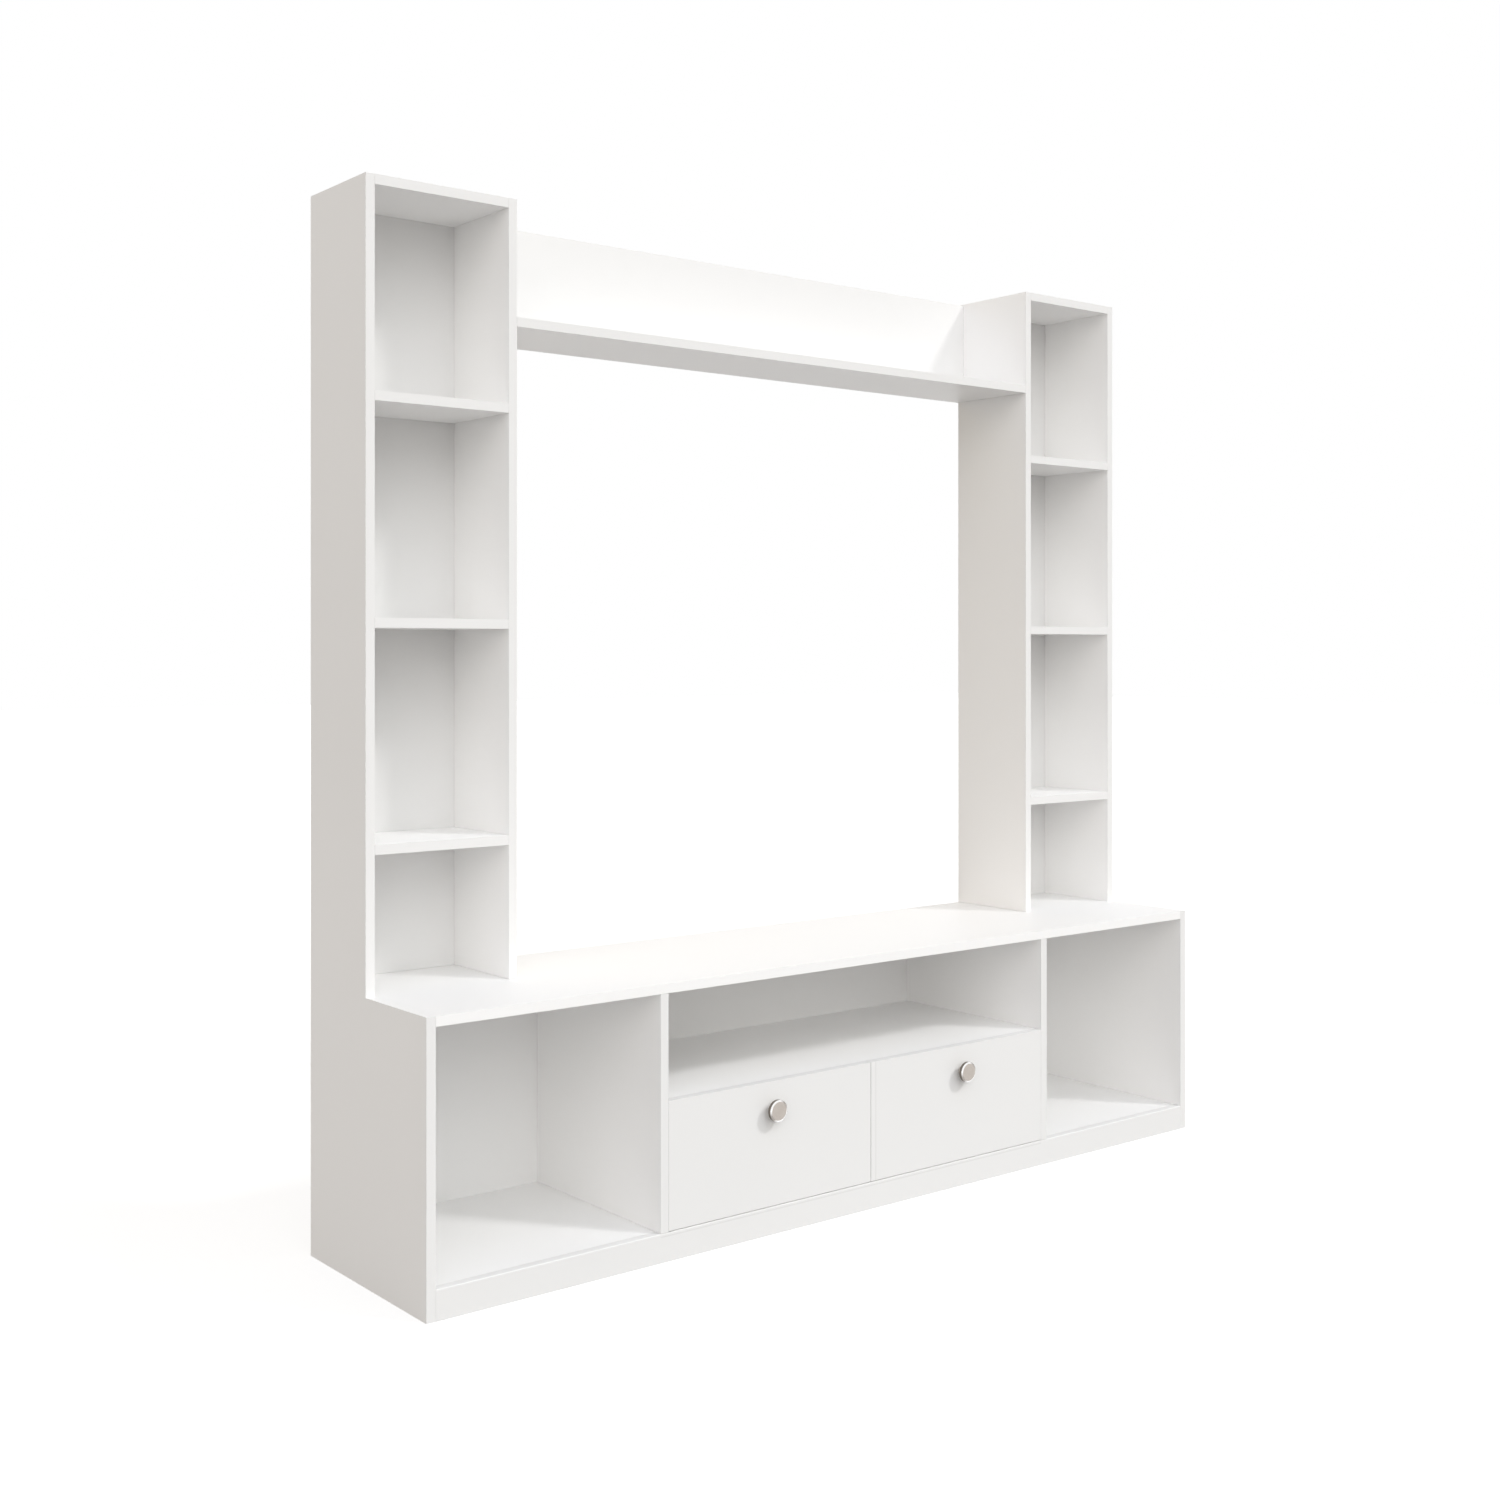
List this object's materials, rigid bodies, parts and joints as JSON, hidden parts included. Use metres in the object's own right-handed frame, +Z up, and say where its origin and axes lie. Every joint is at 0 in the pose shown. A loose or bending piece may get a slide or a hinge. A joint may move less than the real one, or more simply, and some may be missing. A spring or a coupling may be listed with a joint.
{
  "type": "tv unit",
  "caption": "White television wall unit: low cabinet with drawers, open bays and a niche, open shelf towers at each side and a bridge shelf between them.",
  "frame": {"origin": "on the floor, in the middle of the overall width and of the overall depth with the knobs", "axes": "+X to the right as seen from the front, +Y to the rear, +Z up; the front faces -Y"},
  "size_m": [1.8, 0.417, 1.766],
  "materials": {
    "white_board": "white melamine with white edge banding",
    "white_panel": "white lacquered hardboard",
    "satin_nickel": "satin nickel with polished rims",
    "zinc_steel": "zinc plated",
    "white_plastic": "moulded"
  },
  "bodies": {
    "carcass": {"left_side": "white_board", "right_side": "white_board", "base_top": "white_board", "base_bottom": "white_board", "left_divider": "white_board", "right_divider": "white_board", "drawer_partition": "white_board", "niche_shelf": "white_board", "base_left_back": "white_panel", "base_centre_back": "white_panel", "base_right_back": "white_panel", "plinth_front": "white_board", "plinth_rear": "white_board", "plinth_left_brace": "white_board", "plinth_middle_brace": "white_board", "plinth_right_brace": "white_board", "left_tower_inner_side": "white_board", "left_tower_top": "white_board", "left_tower_upper_shelf": "white_board", "left_tower_middle_shelf": "white_board", "left_tower_lower_shelf": "white_board", "left_tower_back": "white_panel", "left_tower_screw": "zinc_steel", "base_left_cam_lock": "zinc_steel", "base_left_bolt": "zinc_steel", "right_tower_inner_side": "white_board", "right_tower_top": "white_board", "right_tower_upper_shelf": "white_board", "right_tower_middle_shelf": "white_board", "right_tower_lower_shelf": "white_board", "right_tower_back": "white_panel", "right_tower_screw": "zinc_steel", "base_right_cam_lock": "zinc_steel", "base_right_bolt": "zinc_steel", "bridge_shelf": "white_board", "bridge_back": "white_board", "bridge_left_cam_lock": "zinc_steel", "bridge_right_cam_lock": "zinc_steel", "bridge_left_bolt": "zinc_steel", "bridge_right_bolt": "zinc_steel", "left_outer_runner": "white_plastic", "left_inner_runner": "white_plastic", "right_outer_runner": "white_plastic", "right_inner_runner": "white_plastic", "left_drawer_stop": "white_plastic", "right_drawer_stop": "white_plastic"},
    "left_drawer": {"left_drawer_front": "white_board", "left_drawer_inner_side": "white_board", "left_drawer_outer_side": "white_board", "left_drawer_back": "white_board", "left_drawer_bottom": "white_panel", "left_drawer_knob": "satin_nickel", "left_drawer_knob_screw": "zinc_steel"},
    "right_drawer": {"right_drawer_front": "white_board", "right_drawer_inner_side": "white_board", "right_drawer_outer_side": "white_board", "right_drawer_back": "white_board", "right_drawer_bottom": "white_panel", "right_drawer_knob": "satin_nickel", "right_drawer_knob_screw": "zinc_steel"}
  },
  "joints": [
    {"name": "left_drawer_slide", "type": "slide", "parent": "carcass", "child": "left_drawer", "axis": [0, -1, 0], "range_m": [0, 0.24]},
    {"name": "right_drawer_slide", "type": "slide", "parent": "carcass", "child": "right_drawer", "axis": [0, -1, 0], "range_m": [0, 0.24]}
  ]
}
